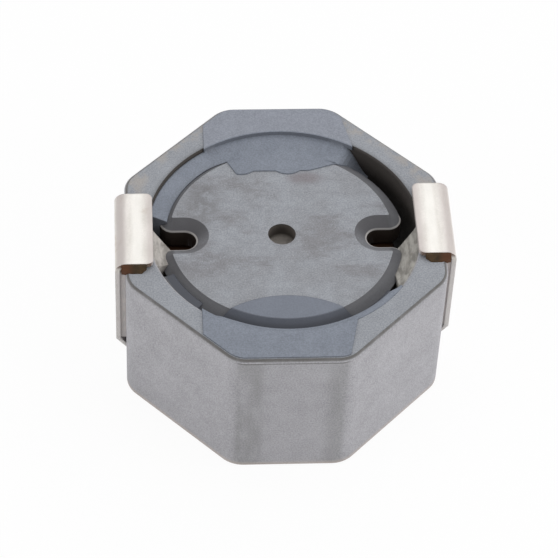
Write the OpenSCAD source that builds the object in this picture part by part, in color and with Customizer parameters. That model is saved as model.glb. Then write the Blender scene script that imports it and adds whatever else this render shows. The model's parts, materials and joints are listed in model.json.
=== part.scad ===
// Shielded surface-mount power inductor.
// A wound ferrite drum core sits in the round bore of an octagonal ferrite sleeve, held by resin.
// Two folded, tinned clips grip the sleeve's sides and end in solder feet, where the wire ends.
// Millimetres, +Z up. The origin lies on the board plane, under the middle of the body.
// X runs through the two clips, and Y through the two resin fillings.

/* [Shield core] */
// Width of the sleeve across its two clip faces, along X
shield_w = 9.68; // [8.9:0.02:11.7]
// Depth of the sleeve, along Y
shield_d = 10.5; // [10:0.1:12.6]
// Height of the sleeve
shield_h = 4.9; // [4:0.1:6]
// Length that each corner cut takes off along X and along Y
corner_cut = 3.13; // [2.6:0.01:3.3]
// Wall between the bore and a clip face, the thinnest wall of the sleeve
side_wall = 0.79; // [0.6:0.01:1]
// Radius of the eight upright edges
edge_r = 0.25; // [0.15:0.05:0.5]
// Bevel along the outer top and bottom edges
shield_bevel = 0.1; // [0.05:0.01:0.14]
// Bevel round both mouths of the bore
bore_bevel = 0.05; // [0.02:0.01:0.1]

/* [Drum core] */
// Gap all round between the drum's flanges and the bore
core_gap = 0.35; // [0.28:0.01:0.6]
// How far the drum was glued off centre, along X
drum_shift = -0.07; // [-0.12:0.01:0.12]
// Depth of the drum's top face below the sleeve's top
drum_sink = 0.25; // [0.15:0.01:0.4]
// Height of the drum's bottom face above the sleeve's underside
drum_rise = 0.25; // [0.15:0.01:0.4]
// Thickness of each flange
flange_t = 0.85; // [0.6:0.05:1.1]
// Width of the sloping bevel round a flange's outer face, seen from above
flange_bevel_w = 0.4; // [0.2:0.01:0.42]
// Drop of that bevel at the rim
flange_bevel_h = 0.2; // [0.1:0.01:0.3]
// Radius of the post that carries the winding
post_r = 1.85; // [1.4:0.05:2.3]
// Width of the wire notches in both flanges
notch_w = 0.73; // [0.5:0.01:0.9]
// Depth of a notch from the flange's rim
notch_depth = 1.1; // [0.8:0.05:1.3]
// How far the radius of the rounded lips at a notch's mouth exceeds the bevel's width
notch_lip_extra = 0.04; // [0.02:0.01:0.2]
// Radius of the centre dimple in both faces
dimple_r = 0.42; // [0.3:0.01:0.6]
// Depth of the centre dimple
dimple_depth = 0.6; // [0.3:0.05:0.8]

/* [Winding] */
// Diameter of the enamelled wire
wire_d = 0.4; // [0.3:0.01:0.44]
// Space between neighbouring turns and layers
turn_gap = 0.02; // [0.01:0.01:0.06]
// Least depth of the outer layer below the flanges' rims
coil_inset = 0.1; // [0.05:0.01:0.3]
// Clearance between the coil and the drum's post and flanges
coil_clear = 0.04; // [0.02:0.01:0.1]

/* [Terminal clips] */
// Thickness of the clip's strip
clip_t = 0.15; // [0.1:0.01:0.2]
// Width of the clip's strip
clip_w = 2.9; // [2.2:0.1:3]
// Length of the top tab, from the clip's outer face to the tab's end
tab_len = 1.15; // [0.8:0.05:1.2]
// Length of the solder foot, from the sleeve's clip face inwards
foot_len = 1.75; // [1.6:0.05:2]
// Inside radius of the top bend
bend_r = 0.2; // [0.16:0.01:0.3]
// Inside radius of the bottom bend
foot_bend_r = 0.05; // [0.03:0.01:0.06]
// Radius of the corners of the tab and of the foot
clip_corner_r = 0.2; // [0.1:0.05:0.4]
// Space between the clip's plate and the sleeve's side, filled with adhesive
plate_gap = 0.16; // [0.05:0.01:0.3]
// Space between the tab and the sleeve's top, filled with adhesive
tab_gap = 0.05; // [0.03:0.01:0.12]
// Height of the foot's underside below the sleeve's
foot_proud = 0.05; // [0.02:0.01:0.1]
// Height at which the plate steps inwards into the sleeve's recess, at the step's top
step_z = 1.75; // [1.2:0.05:2.2]
// Height of that step
step_h = 0.4; // [0.3:0.05:0.6]
// How far the left clip was set off centre, along Y
left_clip_shift = -0.1; // [-0.2:0.02:0.2]
// How far the right clip was set off centre, along Y
right_clip_shift = 0.2; // [-0.2:0.02:0.2]
// Clearance between a clip and the recess that holds it
recess_clear = 0.02; // [0.01:0.01:0.05]
// Side clearance of that recess, each side of a centred clip
recess_side = 0.25; // [0.2:0.01:0.3]
// Clearance between the fork in a foot and the wire's end, past the clips' own shift
fork_clear = 0.05; // [0.03:0.01:0.08]

/* [Adhesive and solder] */
// How far the clip adhesive stops short of the strip's edges
glue_inset = 0.06; // [0.02:0.02:0.2]
// Length of adhesive squeezed out in front of a tab, at its outer end
squeeze_len = 0.25; // [0.1:0.05:0.3]
// Height of that squeezed bead
squeeze_h = 0.11; // [0.06:0.01:0.14]
// Radius of the solder fillet round a wire's end
solder_r = 0.5; // [0.46:0.01:0.52]
// Height of that fillet above the foot
solder_h = 0.4; // [0.2:0.05:0.5]

/* [Core resin] */
// Thickness of the resin film on the sleeve's top
film_t = 0.03; // [0.02:0.01:0.05]
// Left edge of the film at the front, from the middle
front_film_left = 2.6; // [1.8:0.05:2.8]
// Right edge of the film at the front, at the sleeve's front face
front_film_right = 1.64; // [1.3:0.01:2]
// Left edge of the film at the back, from the middle
back_film_left = 2.35; // [1.8:0.05:2.8]
// Right edge of the film at the back, at the sleeve's back face
back_film_right = 1.9; // [1.5:0.01:2.2]
// How far the two right edges run outwards for each millimetre towards the bore
film_lean = 0.22; // [0:0.01:0.3]
// Depth that the resin reaches into the gap, below the sleeve's top
resin_depth = 1; // [0.7:0.1:1.2]
// Level of the resin at the back, below the sleeve's top
back_level = 0.1; // [0.06:0.01:0.12]
// Thickness of the resin that ran onto the drum's top face
coat_t = 0.035; // [0.02:0.005:0.06]
// Width of the flush bead of resin at the front, from the bore inwards
bead_w = 0.3; // [0.2:0.02:0.32]
// Radius of that bead's inner edge
bead_r = 0.17; // [0.1:0.01:0.18]
// Reach of the front run over the drum's top face, from the drum's centre
front_run = 2.51; // [2.2:0.01:3]
// Reach of the back run over the drum's top face, from the drum's centre
back_run = 2.66; // [2.3:0.01:3]

/* [Hidden] */
$fn = 96;
eps = 0.01;
past = 1;                 // how far a cutter runs past what it cuts
reach = shield_w + shield_d;

// Angles of the octagon: a side every 45 degrees, its corners half way between them
side_angle = 45;
half_angle = side_angle / 2;

// Sleeve
half_w = shield_w / 2;
half_d = shield_d / 2;
cut_face = (half_w + half_d - corner_cut) / sqrt(2);   // distance of a corner face from the axis
bottom_z = foot_proud;
top_z = bottom_z + shield_h;
bore_r = half_w - side_wall;

// Drum
drum_h = shield_h - drum_sink - drum_rise;              // over both flanges
flange_r = bore_r - core_gap;
face_r = flange_r - flange_bevel_w;                     // radius of the flange's flat face
drum_top = top_z - drum_sink;
drum_bottom = drum_top - drum_h;
rim_top = drum_top - flange_bevel_h;
notch_lip_r = flange_bevel_w + notch_lip_extra;
lip_cross = 0.002;            // a lip's arc crosses the rim and the slot's side by this much
lip_y = notch_w / 2 + notch_lip_r - lip_cross;          // centre of a lip's arc
lip_x = sqrt(pow(flange_r - notch_lip_r + lip_cross, 2) - pow(lip_y, 2));
lip_angle = atan2(lip_y, lip_x);
notch_tip = flange_r - notch_depth + notch_w / 2;       // centre of the notch's round end

// Winding
wire_r = wire_d / 2;
turn_pitch = wire_d + turn_gap;                         // between neighbouring turns and layers
window_h = drum_h - 2 * flange_t;
turns = floor((window_h - 2 * coil_clear) / turn_pitch + eps);
coil_h = turns * turn_pitch;
coil_z = drum_bottom + flange_t + (window_h - coil_h) / 2;
coil_in = post_r + coil_clear;
layers = floor((flange_r - coil_inset - coil_in) / turn_pitch + eps);
lead_r = coil_in + layers * turn_pitch - wire_r;        // middle of the outer layer, and of each lead

// Clips
clip_x = half_w + plate_gap + clip_t;                   // outer face of the plate
tab_z = top_z + tab_gap + clip_t;                       // upper face of the tab
bend_out = bend_r + clip_t;
foot_bend_out = foot_bend_r + clip_t;
foot_end = half_w - foot_len;
recess_w = clip_w + 2 * recess_side;
recess_depth = clip_t + recess_clear;
fork_w = wire_d + 2 * (fork_clear + max(abs(left_clip_shift), abs(right_clip_shift)));
fork_x = lead_r + abs(drum_shift);                      // centre of the fork's round end

// The front run's edge is one arc, given by half its chord and its rise
front_run_half = 1.83;
front_run_rise = 0.585;
front_run_r = (pow(front_run_half, 2) + pow(front_run_rise, 2)) / (2 * front_run_rise);

// Two lobes in the back run's edge
lobe_r = 0.55;
lobe_x = [-1.2, 0.25];
lobe_out = lobe_r / 4;                                  // how far a lobe stands out of the edge

// Angles of the fillings round the gap, anticlockwise from +X
back_from = 54;
back_to = 165;
front_from = 210;
front_to = 324;
right_bead_from = -26;
right_bead_to = -3;
left_bead_from = 183;
left_bead_to = 196;

// Plan of the octagon, every side moved inwards by inset
function corner_at(i, inset) =
    let (w = half_w - inset, d = half_d - inset, c = corner_cut - inset * (2 - sqrt(2)))
    [
        [w, c - d], [w, d - c], [w - c, d], [c - w, d],
        [-w, d - c], [-w, c - d], [c - w, -d], [w - c, -d]
    ][i];
function ray(a) = [cos(a), sin(a)];
function corner_angle(i) = side_angle * i - half_angle;
function corner_centre(i, inset) =
    corner_at(i, inset) - (edge_r - inset) / cos(half_angle) * ray(corner_angle(i));

module octagon(inset) {
    r = edge_r - inset;
    polygon([
        for (i = [0:7], side = [-1, 1])
            corner_centre(i, inset) + r * ray(corner_angle(i) + side * half_angle)
    ]);
    for (i = [0:7]) translate(corner_centre(i, inset)) circle(r = r);
}

// A prism across the whole octagon whose two long sides stand off from the axis,
// with all four long edges bevelled
module bevelled_slab(off, angle) {
    b = shield_bevel;
    rotate([0, 0, angle])
        rotate([90, 0, 0])
            linear_extrude(reach, center = true)
                polygon([
                    [-off, bottom_z + b], [b - off, bottom_z], [off - b, bottom_z], [off, bottom_z + b],
                    [off, top_z - b], [off - b, top_z], [b - off, top_z], [-off, top_z - b]
                ]);
}

// An upright post with both ends bevelled, which gives an edge its round form
module bevelled_post(r, bevel) {
    translate([0, 0, bottom_z]) cylinder(h = bevel, r1 = r - bevel, r2 = r);
    translate([0, 0, bottom_z + bevel]) cylinder(h = shield_h - 2 * bevel, r = r);
    translate([0, 0, top_z - bevel]) cylinder(h = bevel, r1 = r, r2 = r - bevel);
}

// What is cut from an upright corner: the sector beyond its centre, less the round post
module corner_cutter(i) {
    far = 3 * edge_r;
    translate(corner_centre(i, 0))
        rotate([0, 0, corner_angle(i)])
            difference() {
                translate([0, 0, bottom_z - past])
                    linear_extrude(shield_h + 2 * past)
                        polygon([[0, 0], far * ray(-half_angle), [far, 0], far * ray(half_angle)]);
                bevelled_post(edge_r, shield_bevel);
            }
}

// The sleeve before its clip recesses are cut
module sleeve_blank() {
    difference() {
        intersection() {
            bevelled_slab(half_w, 0);
            bevelled_slab(half_d, 2 * side_angle);
            bevelled_slab(cut_face, side_angle);
            bevelled_slab(cut_face, -side_angle);
        }
        for (i = [0:7]) corner_cutter(i);
        bore();
    }
}

module bore() {
    translate([0, 0, bottom_z - past]) cylinder(h = shield_h + 2 * past, r = bore_r);
    translate([0, 0, top_z - bore_bevel])
        cylinder(h = bore_bevel + eps, r1 = bore_r, r2 = bore_r + bore_bevel + eps);
    translate([0, 0, bottom_z - eps])
        cylinder(h = bore_bevel + eps, r1 = bore_r + bore_bevel + eps, r2 = bore_r);
}

// Recess for a clip's lower plate and, under the wall, for its foot
module clip_recess() {
    recess_top = step_z + recess_clear;
    translate([half_w - recess_depth, -recess_w / 2, bottom_z - past])
        cube([recess_depth + past, recess_w, recess_top - bottom_z + past]);
    translate([bore_r - past, -recess_w / 2, bottom_z - past])
        cube([side_wall + 2 * past, recess_w, clip_t + recess_clear - bottom_z + past]);
}

module shield_core() {
    color("#98999d")
        difference() {
            sleeve_blank();
            clip_recess();
            mirror([1, 0, 0]) clip_recess();
        }
}

// Cutter for one notch of the upper flange: slot, bevelled slot edges and rounded lips.
// It lies along +X in the drum's own frame, with the flange's outer face at z = 0.
module notch_cutter() {
    half = notch_w / 2;
    wide = half + flange_bevel_w;
    deep = flange_t + past;
    run = flange_r + past - notch_tip;
    translate([notch_tip, 0, -deep]) cylinder(h = deep + past, r = half);
    translate([notch_tip, -half, -deep]) cube([run, notch_w, deep + past]);
    translate([notch_tip, 0, -flange_bevel_h])
        cylinder(h = flange_bevel_h, r1 = half, r2 = wide);
    translate([notch_tip, 0, 0])
        rotate([90, 0, 90])
            linear_extrude(run)
                polygon([[-half, -flange_bevel_h], [half, -flange_bevel_h], [wide, 0], [-wide, 0]]);
    lip_cutter();
    mirror([0, 1, 0]) lip_cutter();
}

// The sharp corner between a notch's side and the rim, less the round lip that stays
module lip_cutter() {
    far = flange_r + past;
    deep = flange_t + past;
    difference() {
        translate([0, 0, -deep])
            linear_extrude(deep + past)
                polygon([[lip_x, lip_y], [lip_x, 0], [far, 0], far * ray(lip_angle)]);
        translate([lip_x, lip_y, -deep - eps])
            cylinder(h = deep + eps - flange_bevel_h, r = notch_lip_r);
        translate([lip_x, lip_y, -flange_bevel_h])
            cylinder(h = flange_bevel_h, r1 = notch_lip_r, r2 = notch_lip_r - flange_bevel_w);
    }
}

// A flange with its outer face at z = 0: round rim, bevel and two notches
module flange() {
    difference() {
        union() {
            translate([0, 0, -flange_t]) cylinder(h = flange_t - flange_bevel_h, r = flange_r);
            translate([0, 0, -flange_bevel_h])
                cylinder(h = flange_bevel_h, r1 = flange_r, r2 = face_r);
        }
        notch_cutter();
        mirror([1, 0, 0]) notch_cutter();
        dimple();
    }
}

// Round-bottomed centre mark that the drum was pressed and turned on
module dimple() {
    floor_r = dimple_r / 2;
    rotate_extrude()
        union() {
            translate([0, floor_r - dimple_depth]) square([dimple_r, dimple_depth + past]);
            translate([0, -dimple_depth]) square([dimple_r - floor_r, dimple_depth]);
            translate([dimple_r - floor_r, floor_r - dimple_depth]) circle(r = floor_r);
        }
}

module upper_flange() {
    translate([drum_shift, 0, drum_top]) flange();
}

module lower_flange() {
    translate([drum_shift, 0, drum_bottom]) mirror([0, 0, 1]) flange();
}

module drum_core() {
    color("#8f9196")
        union() {
            upper_flange();
            lower_flange();
            translate([drum_shift, 0, drum_bottom + flange_t - eps])
                cylinder(h = window_h + 2 * eps, r = post_r);
        }
}

// Section of the coil: full layers inside, and the outer layer's turns standing out as round ridges
module coil_section() {
    translate([coil_in, coil_z]) square([lead_r - coil_in, coil_h]);
    for (i = [0:turns - 1])
        translate([lead_r, coil_z + (i + 0.5) * turn_pitch]) circle(r = wire_r);
}

// A wire end: down from the lowest turn, through the notch, to the foot's underside
module lead() {
    translate([lead_r, 0, recess_clear])
        cylinder(h = coil_z + turn_pitch / 2 - recess_clear, r = wire_r);
}

module winding() {
    color("#6b3d22")
        translate([drum_shift, 0, 0])
            union() {
                rotate_extrude() coil_section();
                lead();
                mirror([1, 0, 0]) lead();
            }
}

// Side view of the right clip, X against Z: tab, bend, plate, step into the recess, bend, foot
module clip_section() {
    step_low = step_z - step_h;
    translate([clip_x - tab_len, tab_z - clip_t]) square([tab_len - bend_out, clip_t]);
    translate([clip_x - bend_out, tab_z - bend_out]) quarter_ring(bend_r, bend_out, 1);
    polygon([
        [clip_x, step_z], [clip_x, tab_z - bend_out],
        [clip_x - clip_t, tab_z - bend_out], [clip_x - clip_t, step_z],
        [half_w - clip_t, step_low], [half_w - clip_t, foot_bend_out],
        [half_w, foot_bend_out], [half_w, step_low]
    ]);
    translate([half_w - foot_bend_out, foot_bend_out]) quarter_ring(foot_bend_r, foot_bend_out, -1);
    translate([foot_end, 0]) square([foot_len - foot_bend_out, clip_t]);
}

// The quarter of a ring between +X and the given side of Z
module quarter_ring(inner, outer, side) {
    mirror([0, side < 0 ? 1 : 0])
        intersection() {
            difference() {
                circle(r = outer);
                circle(r = inner);
            }
            square(outer);
        }
}

// Rounds the two corners at a strip's inner end, between two heights
module end_corners(x, low, high) {
    r = clip_corner_r;
    for (side = [-1, 1])
        translate([x, side * clip_w / 2, low])
            linear_extrude(high - low)
                difference() {
                    translate([-past, side < 0 ? -past : -r]) square([r + past, r + past]);
                    translate([r, -side * r]) circle(r = r);
                }
}

// Fork at the foot's inner end, open towards the axis
module fork() {
    translate([fork_x, 0, -past]) cylinder(h = clip_t + 2 * past, r = fork_w / 2);
    translate([foot_end - past, -fork_w / 2, -past])
        cube([fork_x - foot_end + past, fork_w, clip_t + 2 * past]);
}

module terminal_clip() {
    color("#dedbd6")
        difference() {
            rotate([90, 0, 0]) linear_extrude(clip_w, center = true) clip_section();
            end_corners(clip_x - tab_len, tab_z - clip_t - eps, tab_z + eps);
            end_corners(foot_end, -eps, clip_t + eps);
            fork();
        }
}

module terminal_clip_right() {
    translate([0, right_clip_shift, 0]) terminal_clip();
}

module terminal_clip_left() {
    translate([0, left_clip_shift, 0]) mirror([1, 0, 0]) terminal_clip();
}

// Side view of the adhesive: what the clip's inner face and the sleeve leave between them
module glue_section() {
    difference() {
        union() {
            translate([clip_x - tab_len + clip_corner_r, top_z - shield_bevel])
                square([tab_len - bend_out - clip_corner_r, shield_bevel + tab_gap]);
            translate([clip_x - bend_out, tab_z - bend_out]) quarter_ring(0, bend_r, 1);
            translate([half_w - shield_bevel, step_z])
                square([shield_bevel + plate_gap, tab_z - bend_out - step_z]);
            translate([half_w - shield_bevel, tab_z - bend_out])
                square([clip_x - bend_out - half_w + shield_bevel, bend_r]);
        }
        polygon([
            [0, 0], [half_w, 0], [half_w, top_z - shield_bevel],
            [half_w - shield_bevel, top_z], [0, top_z]
        ]);
    }
}

// Adhesive of one clip: the layer behind it, and the wedge squeezed out in front of its tab
module clip_adhesive() {
    tab_end = clip_x - tab_len + clip_corner_r;
    edge = half_w - shield_bevel;
    front = -clip_w / 2;
    color("#56463a") {
        translate([0, glue_inset / 2, 0])
            rotate([90, 0, 0]) linear_extrude(clip_w - glue_inset, center = true) glue_section();
        difference() {
            translate([0, 0, top_z])
                linear_extrude(squeeze_h)
                    polygon([
                        [tab_end, front + glue_inset], [edge, front + glue_inset],
                        [edge, front - squeeze_len], [tab_end, front - glue_inset]
                    ]);
            translate([tab_end - past, front, top_z + tab_gap]) cube([tab_len + past, past, past]);
        }
    }
}

module clip_adhesive_right() {
    translate([0, right_clip_shift, 0]) clip_adhesive();
}

module clip_adhesive_left() {
    translate([0, left_clip_shift, 0]) mirror([1, 0, 0]) clip_adhesive();
}

// Solder round one wire's end: a cone on the foot, and the fork filled to the wire
module solder_joint(lead_x, clip_shift) {
    color("#c9c8c6")
        difference() {
            union() {
                translate([lead_x, 0, clip_t])
                    cylinder(h = solder_h, r1 = solder_r, r2 = wire_r + recess_clear);
                translate([0, clip_shift, 0])
                    intersection() {
                        fork();
                        translate([foot_end + clip_corner_r, -fork_w / 2, recess_clear])
                            cube([foot_len, fork_w, clip_t + eps - recess_clear]);
                    }
            }
            translate([lead_x, 0, 0]) cylinder(h = coil_z, r = wire_r);
        }
}

module solder_joint_right() {
    solder_joint(lead_r + drum_shift, right_clip_shift);
}

module solder_joint_left() {
    mirror([1, 0, 0]) solder_joint(lead_r - drum_shift, left_clip_shift);
}

// Resin fills what the sleeve and the drum leave free, so both are cut from its rough form
module seat_resin() {
    difference() {
        children();
        sleeve_blank();
        upper_flange();
    }
}

// Film on the sleeve's top at the back or, with side -1, at the front, with a thin skin down the bore.
// Its left edge is straight and its right edge leans.
module film(left, right, side) {
    skin_low = top_z - back_level - film_t;
    translate([0, 0, skin_low])
        linear_extrude(top_z + film_t - skin_low)
            difference() {
                intersection() {
                    octagon(shield_bevel);
                    polygon([
                        [-left, 0], [-left, side * half_d],
                        [right, side * half_d], [right + film_lean * half_d, 0]
                    ]);
                }
                circle(r = bore_r - film_t);
            }
}

// Ring sector of a section drawn as radius against height
module sector(from, to) {
    rotate([0, 0, from]) rotate_extrude(angle = to - from) children();
}

// Section of the bead at the front, flush with the sleeve's top
module bead_section() {
    inner = bore_r - bead_w;
    low = top_z - resin_depth;
    wall = bore_r + bore_bevel / 2;
    translate([face_r, low]) square([wall - face_r, rim_top + coat_t - low]);
    translate([inner, low]) square([wall - inner, top_z - bead_r - low]);
    translate([inner + bead_r, low]) square([wall - inner - bead_r, top_z - low]);
    translate([inner + bead_r, top_z - bead_r]) circle(r = bead_r);
}

// Thin coat that follows the drum's top face and bevel, and ends inside the gap's filling
module coat() {
    over = core_gap / 4;
    drop = over * flange_bevel_h / flange_bevel_w;
    translate([drum_shift, 0, 0])
        rotate_extrude()
            polygon([
                [0, rim_top - coat_t], [0, drum_top + coat_t], [face_r, drum_top + coat_t],
                [flange_r + over, rim_top + coat_t - drop], [flange_r + over, rim_top - coat_t - drop]
            ]);
}

module core_resin_front() {
    color("#7c838e")
        seat_resin() {
            film(front_film_left, front_film_right, -1);
            sector(front_from, front_to) bead_section();
            intersection() {
                coat();
                translate([drum_shift, -front_run - front_run_r, drum_bottom])
                    cylinder(h = shield_h, r = front_run_r);
            }
        }
}

// Section of the back filling: level at the wall, and thinning out over the drum's edge
module back_section() {
    wall = bore_r + bore_bevel;
    low = top_z - resin_depth;
    polygon([
        [face_r - film_t, rim_top], [face_r - film_t, drum_top + coat_t], [wall, top_z - back_level],
        [wall, low], [bore_r - core_gap - bead_w, low], [bore_r - core_gap - bead_w, rim_top]
    ]);
}

// Plan of the back run over the drum's top face: a straight edge with two lobes,
// ending where the filling ends
module back_run_plan() {
    intersection() {
        union() {
            translate([-reach, back_run]) square([2 * reach, reach]);
            for (x = lobe_x) translate([x, back_run + lobe_r - lobe_out]) circle(r = lobe_r);
        }
        polygon([[0, 0], reach * ray(back_from), [0, reach], reach * ray(back_to)]);
    }
}

module core_resin_back() {
    color("#858b96")
        seat_resin() {
            film(back_film_left, back_film_right, 1);
            sector(back_from, back_to) back_section();
            intersection() {
                coat();
                translate([0, 0, drum_bottom]) linear_extrude(shield_h) back_run_plan();
            }
        }
}

// Section of the resin that closes the gap beside a notch, sloping down towards the drum
module notch_section() {
    wall = bore_r + bore_bevel;
    low = top_z - resin_depth;
    polygon([
        [face_r + bead_r, low], [face_r + bead_r, rim_top - bead_r], [bore_r - bead_w, top_z - drum_sink],
        [wall, top_z - bore_bevel - film_t], [wall, low]
    ]);
}

module notch_resin_right() {
    color("#8f8b84") seat_resin() sector(right_bead_from, right_bead_to) notch_section();
}

module notch_resin_left() {
    color("#9f9a94") seat_resin() sector(left_bead_from, left_bead_to) notch_section();
}

shield_core();
drum_core();
winding();
terminal_clip_left();
terminal_clip_right();
core_resin_front();
core_resin_back();
clip_adhesive_left();
clip_adhesive_right();
notch_resin_left();
notch_resin_right();
solder_joint_left();
solder_joint_right();
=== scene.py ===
"""Looks of a shielded surface-mount power inductor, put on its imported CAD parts.

The sleeve, the drum, the resin and the adhesive get finer forms of their own here: rounder upright
edges, a wider bore and flange, and resin that runs and thins out as it set. They stand for the CAD
nodes of the same pieces. Forms are drawn in millimetres of the part's own frame and scaled at the
end: +Z is up from the board, X runs through the two clips and Y through the two resin fillings.
Every finish is a small node tree that works in the same millimetres.
"""

import json
import math

import bmesh
import bpy
from mathutils import Matrix, Vector


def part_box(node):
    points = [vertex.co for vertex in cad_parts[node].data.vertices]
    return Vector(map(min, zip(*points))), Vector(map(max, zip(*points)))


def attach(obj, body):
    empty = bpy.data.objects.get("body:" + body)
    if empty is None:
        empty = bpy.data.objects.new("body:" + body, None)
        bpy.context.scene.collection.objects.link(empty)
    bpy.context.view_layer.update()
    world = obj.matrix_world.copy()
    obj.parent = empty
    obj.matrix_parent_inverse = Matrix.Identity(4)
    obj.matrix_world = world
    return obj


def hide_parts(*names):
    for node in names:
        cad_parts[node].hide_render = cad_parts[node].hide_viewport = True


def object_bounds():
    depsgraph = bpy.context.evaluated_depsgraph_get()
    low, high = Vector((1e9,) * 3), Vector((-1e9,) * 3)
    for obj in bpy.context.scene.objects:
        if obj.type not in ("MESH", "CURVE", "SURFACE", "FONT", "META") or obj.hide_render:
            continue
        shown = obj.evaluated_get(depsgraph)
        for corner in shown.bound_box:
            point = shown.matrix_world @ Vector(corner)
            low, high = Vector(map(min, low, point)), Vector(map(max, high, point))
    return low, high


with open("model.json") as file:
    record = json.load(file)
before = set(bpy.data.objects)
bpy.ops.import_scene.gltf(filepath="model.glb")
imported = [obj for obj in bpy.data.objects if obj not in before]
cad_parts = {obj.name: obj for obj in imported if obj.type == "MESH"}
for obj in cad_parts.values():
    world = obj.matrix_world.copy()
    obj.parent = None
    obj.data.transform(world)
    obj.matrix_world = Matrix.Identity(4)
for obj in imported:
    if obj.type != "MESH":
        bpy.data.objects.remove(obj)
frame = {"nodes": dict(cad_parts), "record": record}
cad_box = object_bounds()

MM = 0.001


# ---------------------------------------------------------------- places in the frame, in mm

def node_box(name):
    """Lowest and highest corner of a CAD node, in millimetres."""
    low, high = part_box(name)
    return low / MM, high / MM


SLEEVE_LOW, SLEEVE_HIGH = node_box("shield_core")
DRUM_LOW, DRUM_HIGH = node_box("drum_core")
TOP_Z = SLEEVE_HIGH.z
BOTTOM_Z = SLEEVE_LOW.z
HALF_W = SLEEVE_HIGH.x
HALF_D = SLEEVE_HIGH.y
DRUM_TOP = DRUM_HIGH.z
DRUM_X = (DRUM_LOW.x + DRUM_HIGH.x) / 2

FAR = 1.0                           # how far a cutter runs past what it cuts
REACH = 20.0                        # longer than the whole part
SAME_POINT = 1e-5                   # points nearer than this are one while a form is drawn
SMALLEST_EDGE = 5e-4                # and nearer than this in the finished mesh
SHARP_ANGLE = 10                    # degrees between two faces that make their edge a sharp one


# ---------------------------------------------------------------- sizes of the finer forms, in mm

CORNER_CUT = 3.13                   # what a corner cut takes off along X and along Y
EDGE_R = 0.9                        # radius of the eight upright edges
TOP_BEVEL = 0.1
LOW_BEVEL = 0.03
BORE_R = 4.14
BORE_BEVEL = 0.05
RECESS_HALF = 1.7                   # half the width of a clip's recess
RECESS_DEPTH = 0.17                 # its depth behind the plate and above the foot
RECESS_TOP = 1.77

RIM_R = 3.8                         # radius of the drum's upper flange
BEVEL_W = 0.38                      # width of the bevel round its top face
BEVEL_H = 0.26
FACE_R = RIM_R - BEVEL_W
RIM_TOP = DRUM_TOP - BEVEL_H
FLANGE_T = 0.85
NOTCH_HALF = 0.365                  # half the width of a notch
NOTCH_TIP = 2.965                   # centre of its round end
LIP_R = BEVEL_W + 0.04              # radius of the rounded corners where a notch meets the rim
DIMPLE_R = 0.42
DIMPLE_DEPTH = 0.6

RESIN_LOW = TOP_Z - 1.0             # underside of every filling
MOUTH_R = BORE_R + BORE_BEVEL       # outer edge of the bore's bevel
WALL_R = MOUTH_R - 0.001            # the bead ends just inside it
FILM_T = 0.03                       # thickness of the film on the sleeve's top
FILM_LEAN = 0.22                    # slope of its right end
FRONT_FILM = (2.6, 1.64)            # how far the front film reaches to the left and to the right
BACK_FILM = (2.35, 1.9)
BACK_LEVEL = 0.1                    # depth of the back filling at the wall
COAT_T = 0.035                      # thickness of the thin runs on the drum
BEAD_IN = BORE_R - 0.2              # inner edge of the front bead
BEAD_ROUND = 0.12                   # radius of that edge
LOW_LEVEL = RIM_TOP + BEVEL_H / 2   # top of the low filling at the front left

RIGHT_FAN = (-36, 4, -15, -11)      # angles of the beige resin at the wall, then at the drum
LEFT_FAN = (175, 200, 190, 193)

# ---------------------------------------------------------------- drawing forms

ARC_STEPS = 12                      # steps in a rounded corner
TURN_STEPS = 256                    # steps in a full turn


def ray(angle, radius=1.0):
    """Point at an angle in degrees, anticlockwise from +X."""
    a = math.radians(angle)
    return Vector((radius * math.cos(a), radius * math.sin(a)))


def arc(x, y, radius, start, end, steps=ARC_STEPS):
    """Points along an arc, both ends included."""
    middle = Vector((x, y))
    return [middle + ray(start + (end - start) * k / steps, radius) for k in range(steps + 1)]


def solid(points, faces):
    """A closed mesh object: points that coincide are merged and the faces look outwards."""
    mesh = bpy.data.meshes.new("form")
    mesh.from_pydata([tuple(p) for p in points], [], faces)
    heal(mesh)
    piece = bpy.data.objects.new("form", mesh)
    bpy.context.scene.collection.objects.link(piece)
    return piece


def heal(mesh, reach=SAME_POINT):
    """Merges points that lie within reach of each other and drops the faces that vanish with them."""
    work = bmesh.new()
    work.from_mesh(mesh)
    bmesh.ops.remove_doubles(work, verts=work.verts, dist=reach)
    bmesh.ops.dissolve_degenerate(work, dist=reach, edges=work.edges)
    bmesh.ops.recalc_face_normals(work, faces=work.faces)
    work.to_mesh(mesh)
    work.free()


def drop_crumbs(mesh, fewest=12):
    """Deletes what a cut leaves: faces that lie back to back, and loose bits of less than fewest faces."""
    work = bmesh.new()
    work.from_mesh(mesh)
    bmesh.ops.triangulate(work, faces=work.faces)
    same = {}
    for face in work.faces:
        same.setdefault(frozenset(face.verts), []).append(face)
    crumbs = [face for faces in same.values() if len(faces) > 1 for face in faces]
    left = set(work.faces) - set(crumbs)
    while left:
        group, reached = set(), [left.pop()]
        while reached:
            face = reached.pop()
            group.add(face)
            near = {other for vert in face.verts for other in vert.link_faces} & left
            left -= near
            reached += near
        if len(group) < fewest:
            crumbs += group
    bmesh.ops.delete(work, geom=crumbs, context="FACES")
    work.to_mesh(mesh)
    work.free()


def loft(rings):
    """Solid through outlines of the same number of points, each given with its height."""
    count = len(rings[0][0])
    points = [(x, y, z) for outline, z in rings for x, y in outline]
    faces = [list(range(count)), list(range(len(points) - count, len(points)))]
    for level in range(len(rings) - 1):
        for i in range(count):
            a = level * count + i
            b = level * count + (i + 1) % count
            faces.append((a, b, b + count, a + count))
    return solid(points, faces)


def prism(outline, low, high):
    return loft([(outline, low), (outline, high)])


def box(x, y, z):
    """Box between two values along each axis."""
    return prism([(x[0], y[0]), (x[1], y[0]), (x[1], y[1]), (x[0], y[1])], z[0], z[1])


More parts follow.
